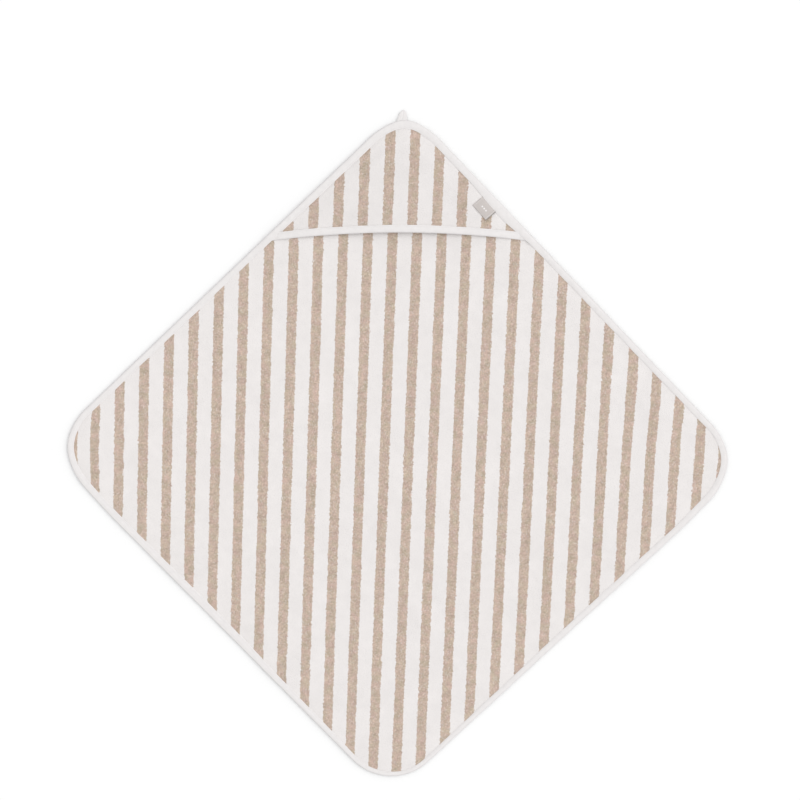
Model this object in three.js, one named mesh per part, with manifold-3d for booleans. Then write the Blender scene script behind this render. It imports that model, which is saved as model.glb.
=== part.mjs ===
// A hooded baby towel, spread flat: a square of terry cloth with rounded corners and a folded tape
// sewn round its edge, a triangular terry hood over one corner with its own tape along the mouth,
// a hanging loop at that corner, a woven label on the hood and a care label underneath.
// Millimetres, +Z up. The hooded corner points to +Y. The origin is the centre of the square, on
// its underside.
import * as THREE from 'three';
import { mergeVertices } from 'three/addons/utils/BufferGeometryUtils.js';
import Module from 'manifold-3d';

const wasm = await Module();
wasm.setup();

// The square
const SIDE = 750;
const CORNER_RADIUS = 80;
const CORNER_STEPS = 10;
const TERRY = 3; // thickness of one layer of terry
const PRESSED_EDGE = 1.2; // thickness of the terry edge inside a folded tape
const GAP = 0.3; // clearance between touching pieces

// The folded tapes
const TAPE_WIDTH = 11;
const TAPE_HEIGHT = 3; // outside height of the fold
const TAPE_CLOTH = 0.6; // thickness of the tape's cloth
const FOLD_STEPS = 4;
const FOLD_DEPTH = 1.6; // from the outer edge to the end of the slot

// The threads, each drawn as one continuous bead
const THREAD_WIDTH = 0.7;
const THREAD_HEIGHT = 0.4;
const STITCH_INSET = 9; // from the tape's outer edge to the thread

// The hood
const HOOD_MARGIN = 1.5; // from the edge tape to the hood
const HOOD_REACH = 196; // from the corner where the sides would meet to the mouth's middle
const MOUTH_RISE = 12; // how far the mouth's edge arches towards the corner
const MOUTH_STEPS = 16;
const HOOD_TILT = THREE.MathUtils.degToRad(2); // the mouth stands a little open

// The woven label on the hood
const LABEL_LENGTH = 30;
const LABEL_WIDTH = 19;
const LABEL_THICKNESS = 0.6;
const LABEL_ALONG = 198; // from the corner where the sides would meet, along the side
const LABEL_INSET = 24; // from the side to the label's middle
const LABEL_HEM = 1.5; // from the label's end to its thread

// The hanging loop, a tape folded to a point with its two legs side by side
const LOOP_WIDTH = 17;
const LOOP_LENGTH = 15;
const LOOP_SHOULDER = 7; // where the legs start to meet
const LOOP_SLIT = 1.2; // width of the gap between the legs
const LOOP_SLIT_LENGTH = 9;
const LOOP_CLOTH = 1.2;
const LOOP_CLEARANCE = 1.5; // from the corner's edge to the loop
const LOOP_MIDDLE = -4; // it was sewn in a little left of the corner's middle

// The care label underneath
const CARE_LENGTH = 45;
const CARE_WIDTH = 25;
const CARE_CLOTH = 0.4;
const CARE_LIFT = 0.2; // from the ground to the label
const CARE_RECESS = 1.4; // depth of the pile pressed in above it
const CARE_ALONG = 250; // from the hooded corner, along the left side
const CARE_INSET = 40; // from the left side to the label's middle

const HALF_SIDE = SIDE / 2;
const CORNER_POINT = HALF_SIDE * Math.SQRT2; // where two sides would meet if the corner were sharp
const CORNER_CENTRE = (HALF_SIDE - CORNER_RADIUS) * Math.SQRT2;
const TIP = CORNER_CENTRE + CORNER_RADIUS; // the rounded corner's outermost point
const EIGHTH_TURN = Math.PI / 4;

const HOOD_INSET = TAPE_WIDTH + HOOD_MARGIN;
const HOOD_TIP = TIP - HOOD_INSET;
const HOOD_BASE = TERRY + GAP;
const MOUTH_HALF_CHORD = HOOD_REACH + MOUTH_RISE;
const MOUTH_RADIUS = (MOUTH_HALF_CHORD ** 2 + MOUTH_RISE ** 2) / (2 * MOUTH_RISE);
const MOUTH_CENTRE = CORNER_POINT - HOOD_REACH - MOUTH_RADIUS;

const colours = {
  terry: 0xe9e4e1,
  tape: 0xefedeb,
  thread: 0xe6e2de,
  label: 0xcfc7c1,
  satin: 0xf2f0ee,
};

function cloth(colour, roughness) {
  return new THREE.MeshStandardMaterial({ color: colour, roughness, metalness: 0 });
}

// Triangles between neighbouring rings of equally many points, with the first and last ring capped
// by the triangles that fill `face`. Without a face, the last ring joins the first.
function loft(rings, face) {
  const count = rings[0].length;
  const bands = face ? rings.length - 1 : rings.length;
  const triangles = [];
  for (let band = 0; band < bands; band += 1) {
    const low = band * count;
    const high = ((band + 1) % rings.length) * count;
    for (let i = 0; i < count; i += 1) {
      const next = (i + 1) % count;
      triangles.push([low + i, low + next, high + next], [low + i, high + next, high + i]);
    }
  }
  if (face) {
    const top = (rings.length - 1) * count;
    for (const [a, b, c] of THREE.ShapeUtils.triangulateShape(face, [])) {
      triangles.push([c, b, a], [top + a, top + b, top + c]);
    }
  }
  return solid(rings.flat(), triangles);
}

// A geometry from points and triangles, turned so that its faces point out.
function solid(points, triangles) {
  let volume = 0;
  for (const [a, b, c] of triangles) {
    volume += points[a].dot(new THREE.Vector3().crossVectors(points[b], points[c]));
  }
  const outward = volume > 0 ? triangles : triangles.map(([a, b, c]) => [c, b, a]);
  const geometry = new THREE.BufferGeometry().setFromPoints(points);
  geometry.setIndex(outward.flat());
  return geometry;
}

// The rounded square's outline, moved in by `inset`.
function squareOutline(inset) {
  const points = [];
  for (let corner = 0; corner < 4; corner += 1) {
    const facing = (corner * Math.PI) / 2;
    for (let step = 0; step <= CORNER_STEPS; step += 1) {
      const angle = facing + ((2 * step) / CORNER_STEPS - 1) * EIGHTH_TURN;
      const x = CORNER_CENTRE * Math.cos(facing) + (CORNER_RADIUS - inset) * Math.cos(angle);
      const y = CORNER_CENTRE * Math.sin(facing) + (CORNER_RADIUS - inset) * Math.sin(angle);
      points.push(new THREE.Vector2(x, y));
    }
  }
  return points;
}

// The right end of the mouth's edge, moved towards the corner by `offset`, on the hood's side.
function mouthEnd(offset) {
  const radius = MOUTH_RADIUS + offset;
  const side = (HALF_SIDE - HOOD_INSET) * Math.SQRT2;
  const reach = side - MOUTH_CENTRE;
  const x = (reach - Math.sqrt(2 * radius ** 2 - reach ** 2)) / 2;
  return new THREE.Vector2(x, side - x);
}

// Points along the mouth's edge from left to right, moved towards the corner by `offset`.
function mouthCurve(offset) {
  const radius = MOUTH_RADIUS + offset;
  const end = mouthEnd(offset);
  const points = [];
  for (let step = 0; step <= MOUTH_STEPS; step += 1) {
    const x = end.x * ((2 * step) / MOUTH_STEPS - 1);
    points.push(new THREE.Vector2(x, MOUTH_CENTRE + Math.sqrt(radius ** 2 - x ** 2)));
  }
  return points;
}

// The hood's outline in the hood's own frame, whose origin is its tip.
function hoodOutline(offset) {
  const points = mouthCurve(offset);
  for (let step = 0; step <= CORNER_STEPS; step += 1) {
    const angle = EIGHTH_TURN + (step / CORNER_STEPS) * 2 * EIGHTH_TURN;
    const x = (CORNER_RADIUS - HOOD_INSET) * Math.cos(angle);
    const y = CORNER_CENTRE + (CORNER_RADIUS - HOOD_INSET) * Math.sin(angle);
    points.push(new THREE.Vector2(x, y));
  }
  return points.map(({ x, y }) => new THREE.Vector2(x, y - HOOD_TIP));
}

// A terry plate with a thin edge where `tapeInset` steps out to `edgeInset`, at mid-height.
function terryPlate(outline, tapeInset, edgeInset) {
  const low = (TERRY - PRESSED_EDGE) / 2;
  const high = low + PRESSED_EDGE;
  const levels = [
    [tapeInset, 0],
    [tapeInset, low],
    [edgeInset, low],
    [edgeInset, high],
    [tapeInset, high],
    [tapeInset, TERRY],
  ];
  const rings = levels.map(([inset, z]) => outline(inset).map((p) => new THREE.Vector3(p.x, p.y, z)));
  return loft(rings, outline(tapeInset));
}

// The folded tape's section, as points of inset from its outer edge and height.
function tapeSection() {
  const points = [
    new THREE.Vector2(TAPE_WIDTH, 0),
    new THREE.Vector2(TAPE_WIDTH, TAPE_CLOTH),
    new THREE.Vector2(FOLD_DEPTH, TAPE_CLOTH),
    new THREE.Vector2(FOLD_DEPTH, TAPE_HEIGHT - TAPE_CLOTH),
    new THREE.Vector2(TAPE_WIDTH, TAPE_HEIGHT - TAPE_CLOTH),
    new THREE.Vector2(TAPE_WIDTH, TAPE_HEIGHT),
  ];
  const radius = TAPE_HEIGHT / 2;
  for (let step = 0; step <= FOLD_STEPS; step += 1) {
    const angle = Math.PI * (0.5 - step / FOLD_STEPS);
    points.push(new THREE.Vector2(radius - radius * Math.cos(angle), radius + radius * Math.sin(angle)));
  }
  return points;
}

// The thread's section on top of a tape, `lift` above it.
function threadSection(lift) {
  const low = TAPE_HEIGHT + lift;
  return [
    new THREE.Vector2(STITCH_INSET, low),
    new THREE.Vector2(STITCH_INSET + THREAD_WIDTH, low),
    new THREE.Vector2(STITCH_INSET + THREAD_WIDTH, low + THREAD_HEIGHT),
    new THREE.Vector2(STITCH_INSET, low + THREAD_HEIGHT),
  ];
}

// A section carried all round the square.
function roundSquare(section) {
  return loft(section.map((s) => squareOutline(s.x).map((p) => new THREE.Vector3(p.x, p.y, s.y))));
}

// A section carried along the hood's mouth, in the hood's own frame.
function alongMouth(section) {
  const curves = section.map((s) => mouthCurve(s.x));
  const rings = [];
  for (let step = 0; step <= MOUTH_STEPS; step += 1) {
    rings.push(curves.map((curve, i) => {
      const point = curve[step];
      return new THREE.Vector3(point.x, point.y - HOOD_TIP, section[i].y);
    }));
  }
  return loft(rings, section);
}

function asManifold(geometry) {
  const bare = mergeVertices(geometry.clone().deleteAttribute('normal').deleteAttribute('uv'));
  const vertProperties = Float32Array.from(bare.attributes.position.array);
  const triVerts = Uint32Array.from(bare.index.array);
  return new wasm.Manifold(new wasm.Mesh({ numProp: 3, vertProperties, triVerts }));
}

function fromManifold(manifold) {
  const mesh = manifold.getMesh();
  const geometry = new THREE.BufferGeometry();
  geometry.setAttribute('position', new THREE.BufferAttribute(mesh.vertProperties, 3));
  geometry.setIndex(new THREE.BufferAttribute(mesh.triVerts, 1));
  return geometry;
}

// A box turned with its length along a side of the square, 1 for the right side and -1 for the left.
function turnedBox(length, width, height, direction) {
  return new THREE.BoxGeometry(length, width, height).rotateZ(-direction * EIGHTH_TURN);
}

// The point `along` a side from the hooded corner and `inset` from it.
function besideEdge(along, inset, direction, z) {
  const x = direction * (along - inset) * Math.SQRT1_2;
  const y = CORNER_POINT - (along + inset) * Math.SQRT1_2;
  return new THREE.Vector3(x, y, z);
}

function addMesh(parent, name, geometry, material) {
  const mesh = new THREE.Mesh(geometry, material);
  mesh.name = name;
  parent.add(mesh);
  return mesh;
}

// The terry square, with the pile pressed in over the care label
function addTowelPanel(towel) {
  const plate = terryPlate(squareOutline, TAPE_WIDTH + GAP, FOLD_DEPTH + GAP);
  const recess = turnedBox(CARE_LENGTH + 2 * GAP, CARE_WIDTH + 2 * GAP, 2 * CARE_RECESS, -1);
  const place = besideEdge(CARE_ALONG, CARE_INSET, -1, 0);
  recess.translate(place.x, place.y, place.z);
  const panel = fromManifold(asManifold(plate).subtract(asManifold(recess)));
  addMesh(towel, 'towel_panel', panel, cloth(colours.terry, 0.95));
}

function addPerimeterTape(towel) {
  addMesh(towel, 'perimeter_binding', roundSquare(tapeSection()), cloth(colours.tape, 0.85));
  addMesh(towel, 'perimeter_stitching', roundSquare(threadSection(GAP)), cloth(colours.thread, 0.7));
}

function addCareLabel(towel) {
  const label = turnedBox(CARE_LENGTH, CARE_WIDTH, CARE_CLOTH, -1);
  const middle = CARE_LIFT + CARE_CLOTH / 2;
  addMesh(towel, 'care_label', label, cloth(colours.satin, 0.5))
    .position.copy(besideEdge(CARE_ALONG, CARE_INSET, -1, middle));
  const thread = turnedBox(THREAD_WIDTH, CARE_WIDTH - 2 * LABEL_HEM, THREAD_HEIGHT, -1);
  const threadMiddle = CARE_LIFT + CARE_CLOTH + GAP / 2 + THREAD_HEIGHT / 2;
  addMesh(towel, 'care_label_stitching', thread, cloth(colours.thread, 0.7))
    .position.copy(besideEdge(CARE_ALONG + LABEL_HEM - CARE_LENGTH / 2, CARE_INSET, -1, threadMiddle));
}

function addHood(towel) {
  const hood = new THREE.Group();
  hood.position.set(0, HOOD_TIP, HOOD_BASE);
  hood.rotation.x = -HOOD_TILT;
  const panel = terryPlate(hoodOutline, TAPE_WIDTH + GAP, FOLD_DEPTH + GAP);
  addMesh(hood, 'hood_panel', panel, cloth(colours.terry, 0.95));
  addMesh(hood, 'hood_binding', alongMouth(tapeSection()), cloth(colours.tape, 0.85));
  addMesh(hood, 'hood_stitching', alongMouth(threadSection(GAP)), cloth(colours.thread, 0.7));
  addLabel(hood);
  towel.add(hood);
}

function addLabel(hood) {
  const middle = TERRY + GAP + LABEL_THICKNESS / 2;
  const label = turnedBox(LABEL_LENGTH, LABEL_WIDTH, LABEL_THICKNESS, 1);
  const place = besideEdge(LABEL_ALONG, LABEL_INSET, 1, middle);
  place.y -= HOOD_TIP;
  addMesh(hood, 'woven_label', label, cloth(colours.label, 0.8)).position.copy(place);
  const ends = { upper: -1, lower: 1 };
  for (const [end, direction] of Object.entries(ends)) {
    const thread = turnedBox(THREAD_WIDTH, LABEL_WIDTH - 2 * LABEL_HEM, THREAD_HEIGHT, 1);
    const along = LABEL_ALONG + direction * (LABEL_LENGTH / 2 - LABEL_HEM);
    const threadMiddle = TERRY + LABEL_THICKNESS + 2 * GAP + THREAD_HEIGHT / 2;
    const threadPlace = besideEdge(along, LABEL_INSET, 1, threadMiddle);
    threadPlace.y -= HOOD_TIP;
    addMesh(hood, `label_stitching_${end}`, thread, cloth(colours.thread, 0.7))
      .position.copy(threadPlace);
  }
}

function addHangingLoop(towel) {
  const half = LOOP_WIDTH / 2;
  const slit = LOOP_SLIT / 2;
  const shape = new THREE.Shape();
  shape.moveTo(slit, 0);
  shape.lineTo(half, 0);
  shape.lineTo(half, LOOP_SHOULDER);
  shape.lineTo(0, LOOP_LENGTH);
  shape.lineTo(-half, LOOP_SHOULDER);
  shape.lineTo(-half, 0);
  shape.lineTo(-slit, 0);
  shape.lineTo(-slit, LOOP_SLIT_LENGTH);
  shape.lineTo(slit, LOOP_SLIT_LENGTH);
  const loop = new THREE.ExtrudeGeometry(shape, { depth: LOOP_CLOTH, bevelEnabled: false });
  addMesh(towel, 'hanging_loop', loop, cloth(colours.tape, 0.8))
    .position.set(LOOP_MIDDLE, TIP + LOOP_CLEARANCE, TAPE_HEIGHT - LOOP_CLOTH);
}

const towel = new THREE.Group();
addTowelPanel(towel);
addPerimeterTape(towel);
addCareLabel(towel);
addHood(towel);
addHangingLoop(towel);

export default towel;
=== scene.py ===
"""A hooded baby towel of striped terry, spread flat. Metres, Z up, in the CAD model's frame: the
origin is the centre of the square, on its underside, and the hooded corner points to +Y.

Every piece is worked out on the flat pattern first, as if the cloth were an exact square, and
laid() then moves its points to where the cloth really lies."""

import math

import bpy
import numpy as np
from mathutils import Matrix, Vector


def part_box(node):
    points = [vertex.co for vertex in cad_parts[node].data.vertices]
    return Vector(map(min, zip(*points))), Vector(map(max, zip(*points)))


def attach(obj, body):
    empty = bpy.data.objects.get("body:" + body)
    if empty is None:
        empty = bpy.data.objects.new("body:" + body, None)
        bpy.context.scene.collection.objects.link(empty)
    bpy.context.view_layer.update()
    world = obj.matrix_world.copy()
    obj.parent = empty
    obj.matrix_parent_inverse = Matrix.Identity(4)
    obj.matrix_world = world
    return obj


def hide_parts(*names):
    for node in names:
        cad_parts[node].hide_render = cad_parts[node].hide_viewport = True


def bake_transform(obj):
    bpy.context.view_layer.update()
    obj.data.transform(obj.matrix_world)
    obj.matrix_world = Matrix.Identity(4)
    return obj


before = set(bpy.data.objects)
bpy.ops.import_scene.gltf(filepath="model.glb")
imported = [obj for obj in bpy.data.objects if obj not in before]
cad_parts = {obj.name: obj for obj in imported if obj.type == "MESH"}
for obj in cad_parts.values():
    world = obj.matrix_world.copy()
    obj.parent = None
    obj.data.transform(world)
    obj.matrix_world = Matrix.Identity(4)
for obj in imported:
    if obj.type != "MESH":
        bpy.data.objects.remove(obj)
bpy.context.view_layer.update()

MM = 0.001
ROOT_2 = math.sqrt(2)

# The square
CORNER_RADIUS = 80 * MM
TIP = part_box("perimeter_binding")[1][1]
CORNER_CENTRE = TIP - CORNER_RADIUS
HALF_SIDE = CORNER_CENTRE / ROOT_2 + CORNER_RADIUS
CORNER_POINT = HALF_SIDE * ROOT_2  # where two sides would meet if the corner were sharp
PANEL_CELLS = 280  # along each side

# The cloth's layers
TERRY = 3 * MM
PRESSED = 1.2 * MM  # terry inside a folded tape
LAYER_GAP = 0.15 * MM
FLOOR_GAP = 0.35 * MM  # the least that the towel's terry keeps from the floor
FLOOR_CLEARANCE = 0.1 * MM  # the same for the tape under it
TUCK = 3 * MM  # from a tape's outer edge to the terry's edge inside it
PRESSING_REACH = 26 * MM  # from a tape's free edge to where the pile is full again
SPRING_REACH = 3 * MM  # the first part of that, where it springs up to the tape's height
PILE_SPRING = 0.22  # and how much of its height it has there

# The folded tapes
TAPE_WIDTH = 11 * MM
TAPE_CLOTH = 0.4 * MM
TAPE_PILLOW = 0.3 * MM  # how far the tape bulges between its fold and its stitches
TAPE_ROLL = 0.25 * MM  # how far its free edge, which is turned under, rounds down
TAPE_UNDERSIDE = 0.6  # how thick it lies underneath, as a share of the same on top
TAPE_STEP = 2 * MM
FOLD_DEPTH = 1.7 * MM  # from its outer edge to where its two sides run straight
# How wide the edge tape shows, every eighth of the way round from the right corner
EDGE_SHOWN = np.array([9.6, 10.3, 12.5, 10, 10, 13, 6.8, 9.8]) * MM
EDGE_BULGE = 4.5 * MM  # how much more of it shows beside the label
EDGE_BULGE_MIDDLE = (155 * MM, 370 * MM)
EDGE_BULGE_REACH = 75 * MM
# Where it starts to climb onto the hood, in from the mouth's edge, and over how far it does
EDGE_STEP = (-8 * MM, 14 * MM)
MOUTH_SHOWN = 11.6 * MM  # how wide the mouth's tape shows
MOUTH_SQUASH = 0.15  # how thick its ends lie under the edge tape, as a share of the rest

# The stitches
STITCH_INSET = 9 * MM
STITCH_PITCH = 3 * MM
STITCH_LENGTH = 2.3 * MM
STITCH_STAND = 0.1 * MM  # how far they stand off the tape
STITCH_CLEARANCE = 0.3 * MM  # the least that they keep from the floor
THREAD_RADIUS = 0.23 * MM

# The hood
HOOD_REACH = 196 * MM  # from the corner point to the middle of the mouth's edge
MOUTH_RISE = 14 * MM  # how far that edge arches towards the corner
MOUTH_LEAN = 0.02  # how much it climbs towards the right, as a slope
MOUTH_HALF_CHORD = HOOD_REACH + MOUTH_RISE
MOUTH_RADIUS = (MOUTH_HALF_CHORD**2 + MOUTH_RISE**2) / (2 * MOUTH_RISE)
MOUTH_CENTRE = (MOUTH_RADIUS * MOUTH_LEAN, CORNER_POINT - HOOD_REACH - MOUTH_RADIUS)
MOUTH_TUCK = 6 * MM  # from the towel's side to the end of the mouth's tape, under the edge tape
MOUTH_LIFT = 4 * MM  # how far the mouth's middle stands off the towel
LIFT_REACH = 130 * MM  # from the mouth to where the hood lies on the towel again
HOOD_LOOSE = 0.5 * MM  # how far it stands off the towel there
POCKET_SEAM = 12 * MM  # the strip along each side of the hood that is sewn down
POCKET_REACH = 120 * MM  # from there to where the hood is free
HOOD_CELLS = (140, 64)

# The stripes
STRIPES_ACROSS = 29  # how many repeats fit between the points of the left and right corners
STRIPE_PITCH = CORNER_POINT * 2 / STRIPES_ACROSS
STRIPE_WIDTH = 14.6 * MM
STRIPE_SHIFT = 17 * MM  # from the middle line to the nearest stripe on its right
HOOD_STRIPE_SHIFT = -8.5 * MM  # from the towel's stripes to the hood's
STRIPE_LEAN = 8 * MM  # how far right a stripe has drifted at the hooded corner
STRIPE_SPREAD = 16.4 * MM  # how far outwards one that is as far out as the right corner would have
STRIPE_SQUEEZE = (5.5 * MM, 2.5 * MM)  # how far the left and right corners' terry is drawn in
SQUEEZE_SPAN = (450 * MM, 35 * MM)  # where that starts, from the middle line, and over how far
STRIPE_SLANT = 3 * MM  # how far right the terry above the right corner has slid
SLANT_SPAN = (310 * MM, 60 * MM)  # the same for that, to the right
SLANT_RISE = 110 * MM  # and over how far upwards

# How the cloth lies
BELLY = 10.5 * MM  # how far the lower sides would bow out if nothing drew them back
BELLY_RISE = 0.2  # the share of the way to the bottom corner over which that builds up
BELLY_TURN = 1.92  # how strongly it is drawn back on that way: over 1 is inwards in the end
TIP_PULL = 8 * MM  # how far the hooded corner is drawn to a point
SIDE_PULL = 3 * MM  # the same for the left and right corners
TIP_WIDTH = 34 * MM

# The unevenness of each surface: how high it is, and the distance that it changes over
GROUND_BROAD = (1.2 * MM, 140 * MM)
GROUND_SMALL = (0.5 * MM, 38 * MM)
PILE_CLUMPS = (0.14 * MM, 3.3 * MM)
PILE_NAP = (0.2 * MM, 10 * MM)
PUCKERS = (0.3 * MM, 13 * MM)
TAPE_SWAY = (0.35 * MM, 26 * MM)
PILLOW_SHORT = (0.5, 9 * MM)  # its height here is a share of the pillow's
PILLOW_LONG = (0.3, 31 * MM)

# Where that starts, and over how far it builds up
PUCKERS_START = (10 * MM, 5 * MM)  # in from the towel's edge
PUCKERS_END = (45 * MM, 30 * MM)  # where they end, and over how far they fade
HOOD_PILE_START = (10 * MM, 6 * MM)  # in from the mouth's edge
COVERED_START = (12 * MM, 10 * MM)  # the same for where the hood flattens the towel's pile
COVERED = 0.9  # and how much it does

# The seeds of the random values
GROUND_SEED = 11
TOWEL_SEED = 21
HOOD_SEED = 31
EDGE_SEED = 41
MOUTH_SEED = 51

# The labels and the loop
LABEL_SIZE = (31 * MM, 19.6 * MM)
LABEL_MIDDLE = (122.6 * MM, 373.5 * MM)
LABEL_TURN = math.radians(-47.5)
LABEL_CLOTH = 0.5 * MM
LABEL_CELLS = (48, 32)
LABEL_STAND = 0.35 * MM  # how far its edges stand off the hood
LABEL_BULGE = 0.9 * MM  # how much higher its middle stands
LABEL_BULGE_REACH = (9 * MM, 7 * MM)  # from its ends and its sides to where it is that high
LABEL_CURL = 1.6 * MM  # how much higher its lower end curls
LABEL_CURL_REACH = 5 * MM
LABEL_STITCH_INSET = (1.8 * MM, 1.2 * MM)  # from its ends to their stitches, and from its sides
LABEL_STITCH_STAND = 1 * MM  # how far those stand off the hood
LABEL_DOT = 1.35 * MM
LABEL_DOT_PITCH = 4.2 * MM
LABEL_LINE = 2.6 * MM  # from its lower end to the line across it
LABEL_LINE_WIDTH = 0.7 * MM
LABEL_PAINTED_SHADOW_REACH = (0.8 * MM, 1.3 * MM)  # from its lower end to where its painted shadow starts to fade and ends
LOOP_SIZE = (13.6 * MM, 15.5 * MM)
LOOP_CELLS = (28, 28)
LOOP_MIDDLE = -4.6 * MM
LOOP_LEAN = 1.8 * MM  # how far right of its root its tip lies
LOOP_TAIL = 7 * MM  # the hidden length inside the edge seam
LOOP_CLOTH = 1.1 * MM
LOOP_RAISE = 0.4 * MM  # how far above the terry's middle its root lies
LOOP_SAG = 1 * MM  # how much lower its tip lies than its root
LOOP_SHOULDER = 0.32  # how much shorter it is at its sides than at its tip, as a share
LOOP_ROOT_WIDTH = 1.15  # how wide its root is, as a share of its width
LOOP_TAPER = 0.5  # how much of its width it loses towards its tip, as a share
LOOP_GROOVE = 0.8 * MM  # how wide the groove between its legs is
LOOP_GROOVE_END = 5 * MM  # how far from its tip that fades out
LOOP_GROOVE_DEPTH = 0.6  # as a share of its thickness
CARE_SIZE = (45 * MM, 25 * MM)
CARE_MIDDLE = (-148.5 * MM, 325.3 * MM)
CARE_TURN = math.radians(45)
CARE_CELLS = (24, 14)
CARE_CLOTH = 0.2 * MM
CARE_GAP = 0.04 * MM  # between it and the towel's underside
CARE_STITCH_INSET = 1.5 * MM
STITCH_POINTS = 12  # along a label's row of stitches

NOISE_CELLS = 256
NOISE_RANGE = (0.3, 0.7)  # most of a noise texture's values lie between these


def ease(t):
    """0 below 0, 1 above 1 and a smooth rise between."""
    t = np.clip(t, 0, 1)
    return t * t * (3 - 2 * t)


def past(distance, span):
    """0 up to where a span starts, 1 beyond it. A span is its start and its length."""
    return ease((distance - span[0]) / span[1])


def unevenness(x, y, size, seed):
    """Smooth random values from -1 to 1 that change over about `size` metres."""
    table = np.random.default_rng(seed).uniform(-1, 1, (NOISE_CELLS, NOISE_CELLS))
    u, v = x / size, y / size
    i, j = np.floor(u).astype(int), np.floor(v).astype(int)
    a, b = ease(u - i), ease(v - j)

    def corner(di, dj):
        return table[(i + di) % NOISE_CELLS, (j + dj) % NOISE_CELLS]

    near = corner(0, 0) * (1 - a) + corner(1, 0) * a
    far = corner(0, 1) * (1 - a) + corner(1, 1) * a
    return near * (1 - b) + far * b


# --- The flat pattern ---------------------------------------------------------------------------


def inset(x, y):
    """How far a flat point is inside the towel's outer edge."""
    straight = HALF_SIDE - CORNER_RADIUS
    u = np.abs(x + y) / ROOT_2 - straight
    v = np.abs(x - y) / ROOT_2 - straight
    beyond = np.hypot(np.maximum(u, 0), np.maximum(v, 0))
    within = np.minimum(np.maximum(u, v), 0)
    return CORNER_RADIUS - beyond - within


def from_mouth(x, y):
    """How far a flat point is past the mouth's edge, towards the hooded corner."""
    return np.hypot(x - MOUTH_CENTRE[0], y - MOUTH_CENTRE[1]) - MOUTH_RADIUS


def pocket(x, y):
    """0 along the hood's sewn sides, rising to 1 in the middle of its mouth."""
    left = (CORNER_POINT - y + x) / ROOT_2 - POCKET_SEAM
    right = (CORNER_POINT - y - x) / ROOT_2 - POCKET_SEAM
    return ease(left / POCKET_REACH) * ease(right / POCKET_REACH)


def ground(x, y):
    """How far the towel's underside stands off the floor."""
    broad = GROUND_BROAD[0] * (0.5 + 0.5 * unevenness(x, y, GROUND_BROAD[1], GROUND_SEED)) ** 2
    small = GROUND_SMALL[0] * (0.5 + 0.5 * unevenness(x, y, GROUND_SMALL[1], GROUND_SEED + 1)) ** 2
    return FLOOR_GAP + broad + small


def edge_shown(x, y):
    """How wide the edge tape shows on top at a flat point."""
    eighths = np.arctan2(y, x) / (math.pi / 4)
    shown = np.interp(eighths, np.arange(8), EDGE_SHOWN, period=8)
    away = np.hypot(x - EDGE_BULGE_MIDDLE[0], y - EDGE_BULGE_MIDDLE[1])
    return shown + EDGE_BULGE * ease(1 - away / EDGE_BULGE_REACH)


def fullness(beyond):
    """How full the pile is that far beyond a tape: 0 under it, 1 where it is full again."""
    return PILE_SPRING * ease(beyond / SPRING_REACH) + (1 - PILE_SPRING) * ease(beyond / PRESSING_REACH)


def pressing(x, y):
    """0 inside the edge tape, 1 where the terry is free of it."""
    return fullness(inset(x, y) - edge_shown(x, y))


def towel_layer(x, y):
    """The underside and the top of the towel's terry, without the pile's unevenness."""
    free = pressing(x, y)
    bottom = ground(x, y) + (TERRY - PRESSED) / 2 * (1 - free)
    return bottom, bottom + PRESSED + (TERRY - PRESSED) * free


def hood_layer(x, y):
    """The same for the hood's terry, which lies on the towel's."""
    free = pressing(x, y)
    edge = fullness(from_mouth(x, y) - MOUTH_SHOWN)
    lift = MOUTH_LIFT * pocket(x, y) * ease(1 - from_mouth(x, y) / LIFT_REACH)
    resting = (HOOD_LOOSE + (TERRY - PRESSED) / 2 * (1 - edge)) * free
    bottom = towel_layer(x, y)[1] + LAYER_GAP + resting + lift
    return bottom, bottom + PRESSED + (TERRY - PRESSED) * free * edge


def pile(x, y, seed):
    """The unevenness of the pile, in metres."""
    clumps = PILE_CLUMPS[0] * unevenness(x, y, PILE_CLUMPS[1], seed)
    nap = PILE_NAP[0] * unevenness(x, y, PILE_NAP[1], seed + 1)
    puckers = PUCKERS[0] * unevenness(x, y, PUCKERS[1], seed + 2)
    fading = ease((PUCKERS_END[0] - inset(x, y)) / PUCKERS_END[1])
    return (clumps + nap) * pressing(x, y) + puckers * past(inset(x, y), PUCKERS_START) * fading


def laid(x, y, z):
    """Where flat points really lie, as an array of points."""
    low = np.clip(-y / CORNER_POINT, 0, 1)
    belly = -BELLY * ease(low / BELLY_RISE) * (1 - BELLY_TURN * low)
    corner = (CORNER_CENTRE, CORNER_RADIUS)
    tip = TIP_PULL * np.exp(-((x / TIP_WIDTH) ** 2)) * past(y, corner)
    side = SIDE_PULL * np.exp(-((y / TIP_WIDTH) ** 2)) * past(np.abs(x), corner)
    return np.stack([x + side * np.sign(x), y + belly + tip, z], axis=-1)


def grain(x, y):
    """The place of flat points on the terry as it was woven: it was cut a little off the stripes,
    and has stretched since."""
    high = y / CORNER_POINT
    drift = STRIPE_LEAN * high + STRIPE_SPREAD * high * x / CORNER_POINT
    drift += STRIPE_SQUEEZE[0] * past(-x, SQUEEZE_SPAN)
    drift -= STRIPE_SQUEEZE[1] * past(x, SQUEEZE_SPAN)
    drift += STRIPE_SLANT * past(x, SLANT_SPAN) * ease(y / SLANT_RISE)
    return np.stack([x - drift, y, x * 0], axis=-1)


# --- Meshes -------------------------------------------------------------------------------------


def make_piece(name, points, faces, pattern, material):
    """A piece with smooth shading. `pattern` is each point's place on the flat cloth."""
    mesh = bpy.data.meshes.new(name)
    mesh.from_pydata(points.tolist(), [], faces)
    mesh.shade_smooth()
    attribute = mesh.attributes.new("pattern", "FLOAT_VECTOR", "POINT")
    attribute.data.foreach_set("vector", np.ascontiguousarray(pattern, np.float32).ravel())
    mesh.materials.append(material)
    piece = bpy.data.objects.new(name, mesh)
    bpy.context.scene.collection.objects.link(piece)
    return piece


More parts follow.
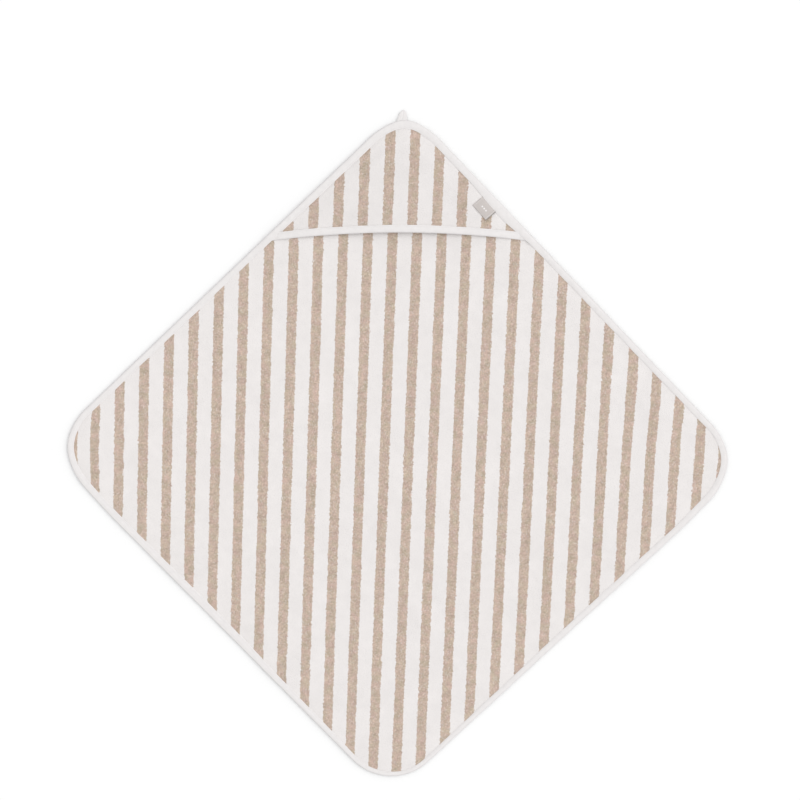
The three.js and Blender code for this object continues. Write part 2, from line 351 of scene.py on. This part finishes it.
def grid_faces(rows, columns, start, flipped=False):
    """Quads between the points of a grid, row by row."""
    index = start + np.arange(rows * columns).reshape(rows, columns)
    corners = [index[:-1, :-1], index[:-1, 1:], index[1:, 1:], index[1:, :-1]]
    if flipped:
        corners.reverse()
    return np.stack(corners, axis=-1).reshape(-1, 4).tolist()


def grid_rim(rows, columns, start):
    """The indices round a grid's edge, anticlockwise."""
    index = start + np.arange(rows * columns).reshape(rows, columns)
    sides = [index[0, :-1], index[:-1, -1], index[-1, :0:-1], index[:0:-1, 0]]
    return np.concatenate(sides)


def cloth_sheet(name, x, y, bottom, top, pattern, material):
    """A closed sheet over a grid of flat points. Its underside has every second row and column."""
    rows, columns = x.shape
    low_rows, low_columns = (rows + 1) // 2, (columns + 1) // 2
    upper = laid(x, y, top).reshape(-1, 3)
    lower = laid(x, y, bottom)[::2, ::2].reshape(-1, 3)
    faces = grid_faces(rows, columns, 0)
    faces += grid_faces(low_rows, low_columns, len(upper), flipped=True)
    high_rim = grid_rim(rows, columns, 0)
    low_rim = grid_rim(low_rows, low_columns, len(upper))
    high_next, low_next = np.roll(high_rim, -2)[::2], np.roll(low_rim, -1)
    band = [low_rim, low_next, high_next, high_rim[1::2], high_rim[::2]]
    faces += np.stack(band, axis=-1).tolist()
    places = np.concatenate([pattern.reshape(-1, 3), pattern[::2, ::2].reshape(-1, 3)])
    return make_piece(name, np.concatenate([upper, lower]), faces, places, material)


def swept_tape(name, section, pattern, closed, material):
    """A closed tube through rings of points. `section` is an array of rings by points by 3."""
    rings, count = section.shape[:2]
    index = np.arange(rings * count).reshape(rings, count)
    following = np.roll(index, -1, axis=0) if closed else index[1:]
    here = index if closed else index[:-1]
    corners = [here, np.roll(here, -1, axis=1), np.roll(following, -1, axis=1), following]
    faces = np.stack(corners, axis=-1).reshape(-1, 4).tolist()
    if not closed:
        faces += [index[0, ::-1].tolist(), index[-1].tolist()]
    return make_piece(name, section.reshape(-1, 3), faces, pattern.reshape(-1, 3), material)


def edge_route():
    """The towel's outer edge, anticlockwise: points, inward directions and the distance run."""
    arc = int(CORNER_RADIUS * math.pi / 2 / TAPE_STEP)
    line = int(2 * (HALF_SIDE - CORNER_RADIUS) / TAPE_STEP)
    angles, centres = [], []
    for corner in range(4):
        facing = corner * math.pi / 2
        turn = np.linspace(-math.pi / 4, math.pi / 4, arc, endpoint=False)
        angles += [facing + turn, np.full(line, facing + math.pi / 4)]
        here = CORNER_CENTRE * np.array([math.cos(facing), math.sin(facing)])
        there = CORNER_CENTRE * np.array([-math.sin(facing), math.cos(facing)])
        share = np.linspace(0, 1, line, endpoint=False)[:, None]
        centres += [np.tile(here, (arc, 1)), here * (1 - share) + there * share]
    angle = np.concatenate(angles)
    outward = np.stack([np.cos(angle), np.sin(angle)], axis=-1)
    edge = np.concatenate(centres) + CORNER_RADIUS * outward
    steps = np.linalg.norm(np.roll(edge, -1, axis=0) - edge, axis=1)
    run = np.concatenate([[0], np.cumsum(steps)[:-1]])
    return edge, -outward, run


def mouth_ends(radius, tuck):
    """Where an arc about the mouth's centre comes that close to the towel's left and right sides."""
    side = (HALF_SIDE - tuck) * ROOT_2 - MOUTH_CENTRE[1]
    ends = []
    for way in (-1, 1):
        reach = side + way * MOUTH_CENTRE[0]
        product = MOUTH_CENTRE[0] ** 2 + side**2 - radius**2
        ends.append(way * (reach - math.sqrt(reach**2 - 2 * product)) / 2)
    return ends


def mouth_route():
    """The hood's mouth from left to right, in the same form."""
    radius = MOUTH_RADIUS + TAPE_WIDTH / 2
    left, right = mouth_ends(radius, MOUTH_TUCK)
    start = math.acos((left - MOUTH_CENTRE[0]) / radius)
    stop = math.acos((right - MOUTH_CENTRE[0]) / radius)
    angle = np.linspace(start, stop, int((right - left) / TAPE_STEP))
    inward = np.stack([np.cos(angle), np.sin(angle)], axis=-1)
    edge = np.array(MOUTH_CENTRE) + MOUTH_RADIUS * inward
    return edge, inward, MOUTH_RADIUS * (start - angle)


def tape_reach(run, shown, depth, seed):
    """How far in from the edge a point of the tape at that depth comes: it is folded unevenly."""
    sway = TAPE_SWAY[0] * unevenness(run, run * 0, TAPE_SWAY[1], seed + 5)
    return depth * (shown + sway) / TAPE_WIDTH


def tape_sides(depth, run, squash, seed):
    """How far the tape's outer faces stand off the cloth inside it, at a depth from its fold."""
    between = np.clip((depth - FOLD_DEPTH) / (STITCH_INSET - FOLD_DEPTH), 0, 1)
    short = PILLOW_SHORT[0] * unevenness(run, run * 0, PILLOW_SHORT[1], seed)
    long = PILLOW_LONG[0] * unevenness(run, run * 0, PILLOW_LONG[1], seed + 1)
    pillow = TAPE_PILLOW * math.sin(math.pi * between) * (1 + short + long)
    beyond = max(depth - STITCH_INSET, 0) / (TAPE_WIDTH - STITCH_INSET)
    return (TAPE_CLOTH + LAYER_GAP + pillow - TAPE_ROLL * beyond**3) * squash


def folded_tape(name, route, shown, stack, squash, closed, seed, material):
    """A tape folded over the edge of the layers in `stack`, an (underside, top) pair of heights.
    Returns the piece and the heights of its two faces along the stitches."""
    edge, inward, run = route
    low, high = stack
    middle = (low + high) / 2
    flat_depths = np.array([1, 0.96, 0.9, 0.82, 0.7, 0.55, 0.4, 0.28]) * TAPE_WIDTH
    turn = np.linspace(math.pi / 2, -math.pi / 2, 9)
    ring = []
    for depth in flat_depths:
        ring.append((depth, high + tape_sides(depth, run, squash, seed)))
    for angle in turn:
        side = tape_sides(FOLD_DEPTH, run, squash, seed)
        reach = np.where(angle > 0, high + side - middle, middle - low + side)
        ring.append((FOLD_DEPTH * (1 - math.cos(angle)), middle + reach * math.sin(angle)))
    for depth in flat_depths[::-1]:
        underside = low - TAPE_UNDERSIDE * tape_sides(depth, run, squash, seed)
        ring.append((depth, np.maximum(underside, FLOOR_CLEARANCE)))
    inner_depths = np.array([1, 0.6, 0.24]) * TAPE_WIDTH
    for depth in inner_depths:
        ring.append((depth, low - LAYER_GAP / 2 * squash))
    for depth in inner_depths[::-1]:
        ring.append((depth, high + LAYER_GAP / 2 * squash))
    section = []
    pattern = []
    for depth, height in ring:
        reach = tape_reach(run, shown, depth, seed)
        x, y = (edge + reach[:, None] * inward).T
        section.append(laid(x, y, height))
        pattern.append(np.stack([run, reach, height], axis=-1))
    section = np.stack(section, axis=1)
    pattern = np.stack(pattern, axis=1)
    if not closed:
        section, pattern = section[::-1], pattern[::-1]
    piece = swept_tape(name, section[:, ::-1], pattern[:, ::-1], closed, material)
    face = tape_sides(STITCH_INSET, run, squash, seed)
    return piece, (np.maximum(low - TAPE_UNDERSIDE * face, FLOOR_CLEARANCE), high + face)


def stitch_shape():
    """One stitch as points (along, across, up) and faces: a bead whose ends dive into the cloth."""
    sides = 6
    along = np.array([-0.5, -0.34, 0, 0.34, 0.5]) * STITCH_LENGTH
    swell = np.array([0.55, 0.95, 1, 0.95, 0.55])
    drop = np.array([-1.3, -0.35, 0.1, -0.35, -1.3]) * THREAD_RADIUS
    angle = np.arange(sides) * 2 * math.pi / sides
    points = []
    for place, size, level in zip(along, swell, drop):
        across = THREAD_RADIUS * size * np.cos(angle)
        up = THREAD_RADIUS * size * np.sin(angle) + level
        points.append(np.stack([np.full(sides, place), across, up], axis=-1))
    index = np.arange(len(along) * sides).reshape(len(along), sides)
    faces = []
    for low, high in zip(index[:-1], index[1:]):
        for side in range(sides):
            after = (side + 1) % sides
            faces.append([low[side], low[after], high[after], high[side]])
    faces = [list(map(int, face)) for face in faces]
    faces += [index[0, ::-1].tolist(), index[-1].tolist()]
    return np.concatenate(points), faces


def stitch_row(name, rows, material):
    """Stitches along rows of (x, y, z) flat points. Each row is (points, up), with up 1 or -1."""
    bead, bead_faces = stitch_shape()
    bead_faces = [np.array(face) for face in bead_faces]
    places, faces, count = [], [], 0
    for points, up in rows:
        steps = np.linalg.norm(np.diff(points[:, :2], axis=0), axis=1)
        run = np.concatenate([[0], np.cumsum(steps)])
        total = max(int(run[-1] / STITCH_PITCH), 1)
        middles = (np.arange(total) + 0.5) * run[-1] / total
        at = np.stack([np.interp(middles, run, points[:, k]) for k in range(3)], axis=-1)
        ahead = np.stack([np.interp(middles + MM, run, points[:, k]) for k in range(3)], axis=-1)
        behind = np.stack([np.interp(middles - MM, run, points[:, k]) for k in range(3)], axis=-1)
        forward = ahead - behind
        forward /= np.linalg.norm(forward, axis=1)[:, None]
        across = np.stack([-forward[:, 1], forward[:, 0], forward[:, 2] * 0], axis=-1) * up
        above = np.array([0, 0, up])
        for middle, length_way, width_way in zip(at, forward, across):
            spots = middle + bead[:, :1] * length_way + bead[:, 1:2] * width_way + bead[:, 2:] * above
            places.append(spots)
            faces += [(face + count).tolist() for face in bead_faces]
            count += len(bead)
    points = np.concatenate(places)
    return make_piece(name, laid(*points.T), faces, points, material)


# --- Materials ----------------------------------------------------------------------------------


class Nodes:
    """A small helper that adds nodes to a new material and links them."""

    def __init__(self, name):
        self.material = bpy.data.materials.new(name)
        self.material.use_nodes = True
        self.tree = self.material.node_tree
        self.shader = self.tree.nodes["Principled BSDF"]

    def add(self, kind, inputs=(), **settings):
        node = self.tree.nodes.new(kind)
        for key, value in settings.items():
            setattr(node, key, value)
        for key, value in dict(inputs).items():
            self.feed(node.inputs[key], value)
        return node

    def feed(self, socket, value):
        if isinstance(value, bpy.types.NodeSocket):
            self.tree.links.new(value, socket)
        else:
            socket.default_value = value

    def maths(self, operation, *values):
        node = self.add("ShaderNodeMath", operation=operation)
        for socket, value in zip(node.inputs, values):
            self.feed(socket, value)
        return node.outputs[0]

    def scaled(self, vector, factors):
        """A vector with each part multiplied by its own factor."""
        node = self.add("ShaderNodeVectorMath", operation="MULTIPLY")
        self.feed(node.inputs[0], vector)
        node.inputs[1].default_value = factors
        return node.outputs[0]

    def pattern(self):
        """The place on the flat cloth, in metres."""
        return self.add("ShaderNodeAttribute", attribute_name="pattern").outputs["Vector"]

    def noise(self, vector, size, detail):
        """Noise from about 0 to 1 that changes over `size` metres."""
        inputs = {"Vector": vector, "Scale": 1 / size, "Detail": detail}
        return self.add("ShaderNodeTexNoise", inputs).outputs["Fac"]

    def varied(self, vector, size, detail, low, high):
        """Noise of that size, spread from low to high."""
        return self.between(self.noise(vector, size, detail), *NOISE_RANGE, low, high)

    def between(self, value, low, high, to_low, to_high):
        inputs = {"Value": value, "From Min": low, "From Max": high, "To Min": to_low, "To Max": to_high}
        return self.add("ShaderNodeMapRange", inputs).outputs["Result"]

    def mixed(self, share, first, second):
        """The first colour where share is 0 and the second where it is 1."""
        node = self.add("ShaderNodeMix", data_type="RGBA")
        self.feed(node.inputs["Factor"], share)
        self.feed(node.inputs[6], first)
        self.feed(node.inputs[7], second)
        return node.outputs[2]

    def shaded(self, colour, brightness):
        """A colour times a brightness."""
        node = self.add("ShaderNodeVectorMath", operation="SCALE")
        self.feed(node.inputs[0], colour)
        self.feed(node.inputs["Scale"], brightness)
        return node.outputs[0]

    def finish(self, colour, height, relief, roughness, sheen=0.0):
        """Sets the surface. `height` is from 0 to 1 and `relief` what 1 stands for, in metres."""
        self.feed(self.shader.inputs["Base Color"], colour)
        self.shader.inputs["Roughness"].default_value = roughness
        self.shader.inputs["Specular IOR Level"].default_value = 0.2
        self.shader.inputs["Sheen Weight"].default_value = sheen
        self.shader.inputs["Sheen Roughness"].default_value = 0.5
        bump = self.add("ShaderNodeBump", {"Height": height, "Distance": relief, "Strength": 0.7})
        self.tree.links.new(bump.outputs["Normal"], self.shader.inputs["Normal"])
        return self.material


WHITE_PILE = (0.768, 0.737, 0.726, 1)
PINK_TAUPE = (0.527, 0.395, 0.336, 1)
SAND_TAUPE = (0.483, 0.398, 0.31, 1)
WHITE_TAPE = (0.74, 0.716, 0.71, 1)
LABEL_GREY = (0.525, 0.485, 0.465, 1)
FLOOR_WHITE = (0.865, 0.865, 0.865, 1)
HOOD_BRIGHTNESS = 0.975  # beside the towel's

PILE_LOOP = (1.1 * MM, 1.6 * MM)  # how wide and long one loop of the pile is
PILE_DEPTH = 0.4 * MM
STRIPE_WANDER = (2 * MM, 22 * MM)  # how far a stripe's edges wander, and over what distance
LOOP_STRAY = 0.8 * MM  # how far single loops stray across them
PALE_LOOPS = 0.1  # the share of the taupe loops that are paler
PALENESS = 0.3  # and how far they are towards white

LABEL_RIBS = 0.45 * MM
LABEL_PICKS = 0.6 * MM
LABEL_LINE_STRENGTH = 0.6
# how dark the painted shadow along the label's lower end makes it
LABEL_PAINTED_SHADOW = 0.5


def terry_material(name, shift, brightness):
    """Looped pile in white and taupe stripes. Each loop is one colour, so the edges are ragged, and
    the taupe is a melange of lighter and darker, pinker and yellower loops."""
    n = Nodes(name)
    place = n.pattern()
    cells = n.scaled(place, (1 / PILE_LOOP[0], 1 / PILE_LOOP[1], 1.0))
    loops = n.add("ShaderNodeTexVoronoi", {"Vector": cells, "Scale": 1.0, "Randomness": 0.8},
                  voronoi_dimensions="2D")
    loop_x = n.add("ShaderNodeSeparateXYZ", {"Vector": loops.outputs["Position"]}).outputs["X"]
    loop_random = n.add("ShaderNodeSeparateColor", {"Color": loops.outputs["Color"]})
    off_middle = n.maths("SUBTRACT", n.noise(place, STRIPE_WANDER[1], 2.0), 0.5)
    drift = n.maths("MULTIPLY", off_middle, STRIPE_WANDER[0])
    stray = n.maths("MULTIPLY", n.maths("SUBTRACT", loop_random.outputs[0], 0.5), LOOP_STRAY)
    across = n.maths("MULTIPLY_ADD", loop_x, PILE_LOOP[0], n.maths("ADD", drift, stray))
    turns = n.maths("MULTIPLY_ADD", across, 1 / STRIPE_PITCH, 0.5 - shift / STRIPE_PITCH)
    from_middle = n.maths("ABSOLUTE", n.maths("SUBTRACT", n.maths("FRACT", turns), 0.5))
    in_stripe = n.maths("LESS_THAN", from_middle, STRIPE_WIDTH / STRIPE_PITCH / 2)

    tint = n.between(n.noise(place, 12 * MM, 3.0), 0.35, 0.65, 0, 1)
    broad = n.varied(place, 50 * MM, 2.0, 0.98 * brightness, 1.02 * brightness)
    patch_shade = n.varied(place, 11 * MM, 1.0, 0.915, 1.085)
    clump = n.varied(place, 2.8 * MM, 2.0, 0.85, 1.15)
    single = n.between(loop_random.outputs[1], 0, 1, 0.9, 1.1)
    shade = n.maths("MULTIPLY", n.maths("MULTIPLY", clump, single), patch_shade)
    taupe = n.shaded(n.mixed(tint, PINK_TAUPE, SAND_TAUPE), shade)
    is_pale = n.maths("GREATER_THAN", loop_random.outputs[2], 1 - PALE_LOOPS)
    pale = n.maths("MULTIPLY", is_pale, PALENESS)
    melange = n.mixed(pale, taupe, WHITE_PILE)
    white = n.shaded(WHITE_PILE[:3], n.varied(place, 14 * MM, 3.0, 0.985, 1.015))
    colour = n.shaded(n.mixed(in_stripe, white, melange), broad)
    # Painted shade: each loop's colour darkens towards its edge, where the gaps between loops lie.
    painted_gap_shade = n.between(loops.outputs["Distance"], 0.4, 0.8, 1.0, 0.9)
    height = n.between(loops.outputs["Distance"], 0.0, 0.7, 1.0, 0.0)
    return n.finish(n.shaded(colour, painted_gap_shade), height, relief=PILE_DEPTH, roughness=0.95, sheen=0.25)


def woven_material(name, colour, thread, relief, roughness, painted_fold_shade=1.0):
    """Fine plain weave with threads of that width. Its fold, at the pattern's Y of 0, has painted shade.
    """
    n = Nodes(name)
    place = n.pattern()
    parts = n.add("ShaderNodeSeparateXYZ", {"Vector": place})
    along = n.maths("SINE", n.maths("MULTIPLY", parts.outputs["X"], math.pi / thread))
    across = n.maths("SINE", n.maths("MULTIPLY", parts.outputs["Y"], math.pi / thread))
    weave = n.between(n.maths("MULTIPLY", along, across), -1, 1, 0, 1)
    uneven = n.varied(place, 6 * MM, 2.0, 0.975, 1.02)
    # Painted shade: the cloth darkens towards its fold, the tape's outer edge.
    fold = n.between(n.maths("ABSOLUTE", parts.outputs["Y"]), 0.6 * MM, 2.4 * MM, painted_fold_shade, 1.0)
    shade = n.maths("MULTIPLY", n.between(weave, 0, 1, 0.96, 1.02), n.maths("MULTIPLY", uneven, fold))
    return n.finish(n.shaded(colour[:3], shade), weave, relief, roughness, 0.1)


def thread_material():
    n = Nodes("sewing thread")
    ply = n.noise(n.pattern(), 0.4 * MM, 2.0)
    shade = n.between(ply, *NOISE_RANGE, 0.93, 1.03)
    return n.finish(n.shaded(WHITE_TAPE[:3], shade), ply, relief=0.05 * MM, roughness=0.6)


def label_material():
    """A grey-beige woven label with three dots, a line before its lower end and painted shadow there."""
    n = Nodes("label weave")
    place = n.pattern()
    parts = n.add("ShaderNodeSeparateXYZ", {"Vector": place})
    x, y = parts.outputs["X"], parts.outputs["Y"]
    ribs = n.maths("SINE", n.maths("MULTIPLY", y, 2 * math.pi / LABEL_RIBS))
    picks = n.maths("SINE", n.maths("MULTIPLY", x, 2 * math.pi / LABEL_PICKS))
    weave = n.between(n.maths("ADD", ribs, picks), -2, 2, 0, 1)
    marks = 0.0
    for dot in (-1, 0, 1):
        offset = n.maths("SUBTRACT", x, dot * LABEL_DOT_PITCH)
        square = n.maths("ADD", n.maths("MULTIPLY", offset, offset), n.maths("MULTIPLY", y, y))
        inside = n.maths("LESS_THAN", square, LABEL_DOT**2)
        marks = n.maths("MAXIMUM", inside, marks)
    from_end = n.maths("SUBTRACT", LABEL_SIZE[0] / 2, x)
    line = n.maths("COMPARE", from_end, LABEL_LINE, LABEL_LINE_WIDTH / 2)
    marks = n.maths("MAXIMUM", n.maths("MULTIPLY", line, LABEL_LINE_STRENGTH), marks)
    # Painted shadow: the label darkens in a band along its lower end.
    painted_end_shadow = n.between(from_end, *LABEL_PAINTED_SHADOW_REACH, LABEL_PAINTED_SHADOW, 1.0)
    base = n.shaded(LABEL_GREY[:3], n.maths("MULTIPLY", n.between(weave, 0, 1, 0.9, 1.06), painted_end_shadow))
    colour = n.mixed(marks, base, WHITE_TAPE)
    return n.finish(colour, weave, relief=0.08 * MM, roughness=0.75, sheen=0.1)


def floor_material():
    n = Nodes("floor")
    n.shader.inputs["Base Color"].default_value = FLOOR_WHITE
    n.shader.inputs["Roughness"].default_value = 0.9
    n.shader.inputs["Specular IOR Level"].default_value = 0.0
    return n.material


# --- Pieces -------------------------------------------------------------------------------------


def flat_square():
    """A grid of flat points that fills the rounded square out to its tucked-in edge."""
    half, radius = HALF_SIDE - TUCK, CORNER_RADIUS - TUCK
    share = np.linspace(-1, 1, PANEL_CELLS + 1)
    across, along = np.meshgrid(share, share)
    v = along * half
    beyond = np.maximum(np.abs(v) - (half - radius), 0)
    u = across * (half - radius + np.sqrt(np.maximum(radius**2 - beyond**2, 0)))
    return (u - v) / ROOT_2, (u + v) / ROOT_2


def make_towel_panel():
    x, y = flat_square()
    bottom, top = towel_layer(x, y)
    covered = COVERED * past(from_mouth(x, y), COVERED_START)
    relief = pile(x, y, TOWEL_SEED) * (1 - covered)
    material = terry_material("towel terry", STRIPE_SHIFT, brightness=1.0)
    panel = cloth_sheet("towel_terry", x, y, bottom, top + relief, grain(x, y), material)
    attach(panel, "towel")
    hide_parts("towel_panel")
    return panel


def make_edge_tape(material, thread):
    route = edge_route()
    edge, inward, run = route
    x, y = (edge + TAPE_WIDTH / 2 * inward).T
    towel, hood = towel_layer(x, y), hood_layer(x, y)
    hooded = past(from_mouth(x, y), EDGE_STEP)
    stack = (towel[0], towel[1] + (hood[1] - towel[1]) * hooded)
    shown = edge_shown(*edge.T)
    tape, faces = folded_tape("edge_tape", route, shown, stack, squash=1.0, closed=True,
                              seed=EDGE_SEED, material=material)
    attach(tape, "towel")
    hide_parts("perimeter_binding")
    x, y = (edge + tape_reach(run, shown, STITCH_INSET, EDGE_SEED)[:, None] * inward).T
    rows = []
    for height, up in zip(faces, (-1, 1)):
        row = np.stack([x, y, np.maximum(height + up * STITCH_STAND, STITCH_CLEARANCE)], axis=-1)
        rows.append((np.concatenate([row, row[:1]]), up))
    stitches = stitch_row("edge_stitches", rows, thread)
    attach(stitches, "towel")
    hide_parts("perimeter_stitching")
    return [tape, stitches]


def flat_hood():
    """A grid of flat points that fills the hood, from its mouth to its sides."""
    radius = MOUTH_RADIUS + TUCK
    side = (HALF_SIDE - TUCK) * ROOT_2
    left, right = mouth_ends(radius, TUCK)
    columns, rows = HOOD_CELLS
    x, share = np.meshgrid(np.linspace(left + MM, right - MM, columns + 1), np.linspace(0, 1, rows + 1))
    mouth = MOUTH_CENTRE[1] + np.sqrt(radius**2 - (x - MOUTH_CENTRE[0]) ** 2)
    corner = CORNER_RADIUS - TUCK
    rounded = CORNER_CENTRE + np.sqrt(np.maximum(corner**2 - x**2, 0))
    outer = np.where(np.abs(x) < corner / ROOT_2, rounded, side - np.abs(x))
    return x, mouth + (outer - mouth) * share


def opens_with_hood(piece):
    """Bakes the piece's transform into its mesh and reads its points into an array, which nothing uses."""
    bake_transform(piece)
    points = np.empty(len(piece.data.vertices) * 3, np.float32)
    piece.data.vertices.foreach_get("co", points)


def make_hood_panel():
    x, y = flat_hood()
    bottom, top = hood_layer(x, y)
    material = terry_material("hood terry", STRIPE_SHIFT + HOOD_STRIPE_SHIFT, HOOD_BRIGHTNESS)
    top = top + pile(x, y, HOOD_SEED) * past(from_mouth(x, y), HOOD_PILE_START)
    panel = cloth_sheet("hood_terry", x, y, bottom, top, grain(x, y), material)
    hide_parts("hood_panel")
    opens_with_hood(panel)
    return panel


def make_mouth_tape(material, thread):
    route = mouth_route()
    edge, inward, run = route
    x, y = (edge + TAPE_WIDTH / 2 * inward).T
    squash = MOUTH_SQUASH + (1 - MOUTH_SQUASH) * pressing(x, y)
    stack = hood_layer(x, y)
    tape, faces = folded_tape("hood_tape", route, MOUTH_SHOWN, stack, squash=squash, closed=False,
                              seed=MOUTH_SEED, material=material)
    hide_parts("hood_binding")
    opens_with_hood(tape)
    in_sight = inset(x, y) > edge_shown(x, y)
    x, y = (edge + tape_reach(run, MOUTH_SHOWN, STITCH_INSET, MOUTH_SEED)[:, None] * inward).T
    rows = []
    for height, up in zip(faces, (-1, 1)):
        rows.append((np.stack([x, y, height + up * STITCH_STAND], axis=-1)[in_sight], up))
    stitches = stitch_row("hood_stitches", rows, thread)
    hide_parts("hood_stitching")
    opens_with_hood(stitches)
    return [tape, stitches]


def turned(along, across, middle, turn):
    """The flat place of a point given by its place in a turned rectangle."""
    x = middle[0] + along * math.cos(turn) - across * math.sin(turn)
    y = middle[1] + along * math.sin(turn) + across * math.cos(turn)
    return x, y


def patch(middle, size, turn, cells):
    """A grid of flat points over a turned rectangle, and each point's place in the rectangle."""
    own_x, own_y = np.meshgrid(
        np.linspace(-size[0] / 2, size[0] / 2, cells[0] + 1),
        np.linspace(-size[1] / 2, size[1] / 2, cells[1] + 1),
    )
    return *turned(own_x, own_y, middle, turn), own_x, own_y


def make_label(thread):
    x, y, own_x, own_y = patch(LABEL_MIDDLE, LABEL_SIZE, LABEL_TURN, LABEL_CELLS)
    to_end = LABEL_SIZE[0] / 2 - np.abs(own_x)
    to_side = LABEL_SIZE[1] / 2 - np.abs(own_y)
    bulge = LABEL_BULGE * ease(to_end / LABEL_BULGE_REACH[0]) * ease(to_side / LABEL_BULGE_REACH[1])
    curl = LABEL_CURL * past(own_x, (LABEL_SIZE[0] / 2 - LABEL_CURL_REACH, LABEL_CURL_REACH))
    bottom = hood_layer(x, y)[1] + LABEL_STAND + bulge + curl
    pattern = np.stack([own_x, own_y, own_x * 0], axis=-1)
    label = cloth_sheet("woven_tag", x, y, bottom, bottom + LABEL_CLOTH, pattern, label_material())
    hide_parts("woven_label")
    opens_with_hood(label)
    reach = LABEL_SIZE[1] / 2 - LABEL_STITCH_INSET[1]
    across = np.linspace(-reach, reach, STITCH_POINTS)
    for end, node in ((-1, "label_stitching_upper"), (1, "label_stitching_lower")):
        along = end * (LABEL_SIZE[0] / 2 - LABEL_STITCH_INSET[0])
        x, y = turned(along, across, LABEL_MIDDLE, LABEL_TURN)
        z = hood_layer(x, y)[1] + LABEL_STITCH_STAND
        row = stitch_row(node.replace("label_stitching", "label_stitches"),
                         [(np.stack([x, y, z], axis=-1), 1)], thread)
        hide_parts(node)
        opens_with_hood(row)


def make_care_label(material, thread):
    x, y, own_x, own_y = patch(CARE_MIDDLE, CARE_SIZE, CARE_TURN, CARE_CELLS)
    top = towel_layer(x, y)[0] - CARE_GAP
    pattern = np.stack([own_x, own_y, own_x * 0], axis=-1)
    label = cloth_sheet("care_tag", x, y, top - CARE_CLOTH, top, pattern, material)
    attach(label, "towel")
    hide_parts("care_label")
    across = np.linspace(-CARE_SIZE[1] / 2, CARE_SIZE[1] / 2, STITCH_POINTS)[1:-1]
    x, y = turned(CARE_SIZE[0] / 2 - CARE_STITCH_INSET, across, CARE_MIDDLE, CARE_TURN)
    z = towel_layer(x, y)[0] - CARE_GAP - CARE_CLOTH
    row = stitch_row("care_stitches", [(np.stack([x, y, z], axis=-1), -1)], thread)
    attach(row, "towel")
    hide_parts("care_label_stitching")


def make_loop(material):
    """A tape folded to a point, with its two legs side by side and their tails inside the seam."""
    width, length = LOOP_SIZE
    columns, rows = LOOP_CELLS
    across, up = np.meshgrid(np.linspace(-1, 1, columns + 1), np.linspace(0, 1, rows + 1))
    roof = length * (1 - LOOP_SHOULDER * np.abs(across) ** 1.5)
    y = TIP - LOOP_TAIL + up * (roof + LOOP_TAIL)
    out = np.clip((y - TIP) / length, 0, 1)
    x = across * width / 2 * (LOOP_ROOT_WIDTH - LOOP_TAPER * out)
    groove = np.exp(-((x / LOOP_GROOVE) ** 2)) * ease((length - (y - TIP)) / LOOP_GROOVE_END)
    x = x + LOOP_MIDDLE + LOOP_LEAN * out
    rounded = 1 - 0.5 * np.abs(across) ** 6
    middle = ground(x * 0, x * 0 + TIP) + TERRY / 2 + LOOP_RAISE - LOOP_SAG * out
    thickness = LOOP_CLOTH * rounded * (1 - LOOP_GROOVE_DEPTH * groove)
    pattern = np.stack([x, y, x * 0], axis=-1)
    low, high = middle - thickness / 2, middle + thickness / 2
    loop = cloth_sheet("loop_tape", x, y, low, high, pattern, material)
    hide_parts("hanging_loop")
    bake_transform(loop)
    return loop


# --- The stage ----------------------------------------------------------------------------------

VIEW_WIDTH = 1.213
VIEW_AIM = (2 * MM, 81.1 * MM)
VIEW_ROLL = math.radians(1.32)
LENS = 85
SENSOR = 36
CLIP_END = 50
FLOOR_REACH = 6
SKY_STRENGTH = 1.0
KEY_STRENGTH = 1.2
KEY_ANGLE = math.radians(65)  # how wide the lamp looks, which softens its shadows
KEY_TILT = math.radians(64)  # from straight above
KEY_SIDE = math.radians(105)  # the way its light travels, from the hooded corner turning left


def make_stage():
    mesh = bpy.data.meshes.new("floor")
    corners = [(x * FLOOR_REACH, y * FLOOR_REACH, 0) for x, y in ((-1, -1), (1, -1), (1, 1), (-1, 1))]
    mesh.from_pydata(corners, [], [(0, 1, 2, 3)])
    mesh.materials.append(floor_material())
    floor = bpy.data.objects.new("floor", mesh)
    bpy.context.scene.collection.objects.link(floor)


def make_light():
    scene = bpy.context.scene
    world = bpy.data.worlds.new("studio")
    world.use_nodes = True
    background = world.node_tree.nodes["Background"]
    background.inputs["Color"].default_value = (1, 1, 1, 1)
    background.inputs["Strength"].default_value = SKY_STRENGTH
    scene.world = world
    data = bpy.data.lights.new("key", "SUN")
    data.energy = KEY_STRENGTH
    data.angle = KEY_ANGLE
    key = bpy.data.objects.new("key", data)
    key.rotation_euler = (KEY_TILT, 0, KEY_SIDE)
    scene.collection.objects.link(key)
    scene.view_settings.view_transform = "Standard"
    scene.view_settings.look = "None"


def make_camera():
    data = bpy.data.cameras.new("camera")
    data.lens = LENS
    data.sensor_width = SENSOR
    data.clip_end = CLIP_END
    camera = bpy.data.objects.new("camera", data)
    camera.location = (VIEW_AIM[0], VIEW_AIM[1], VIEW_WIDTH * LENS / SENSOR)
    camera.rotation_euler = (0, 0, VIEW_ROLL)
    bpy.context.scene.collection.objects.link(camera)
    bpy.context.scene.camera = camera


make_camera()
make_light()
make_stage()

# The binding tape's fold carries painted shade.
tape_cloth = woven_material("binding tape", WHITE_TAPE, thread=0.35 * MM, relief=0.06 * MM,
                            roughness=0.8, painted_fold_shade=0.89)
loop_cloth = woven_material("loop tape", WHITE_TAPE, thread=0.5 * MM, relief=0.12 * MM, roughness=0.8)
satin = woven_material("satin", WHITE_TAPE, thread=0.2 * MM, relief=0.02 * MM, roughness=0.4)
sewing_thread = thread_material()

towel = make_towel_panel()
hood = make_hood_panel()
edge_pieces = make_edge_tape(tape_cloth, sewing_thread) + [make_loop(loop_cloth)]
mouth_pieces = make_mouth_tape(tape_cloth, sewing_thread)
make_label(sewing_thread)
make_care_label(satin, sewing_thread)
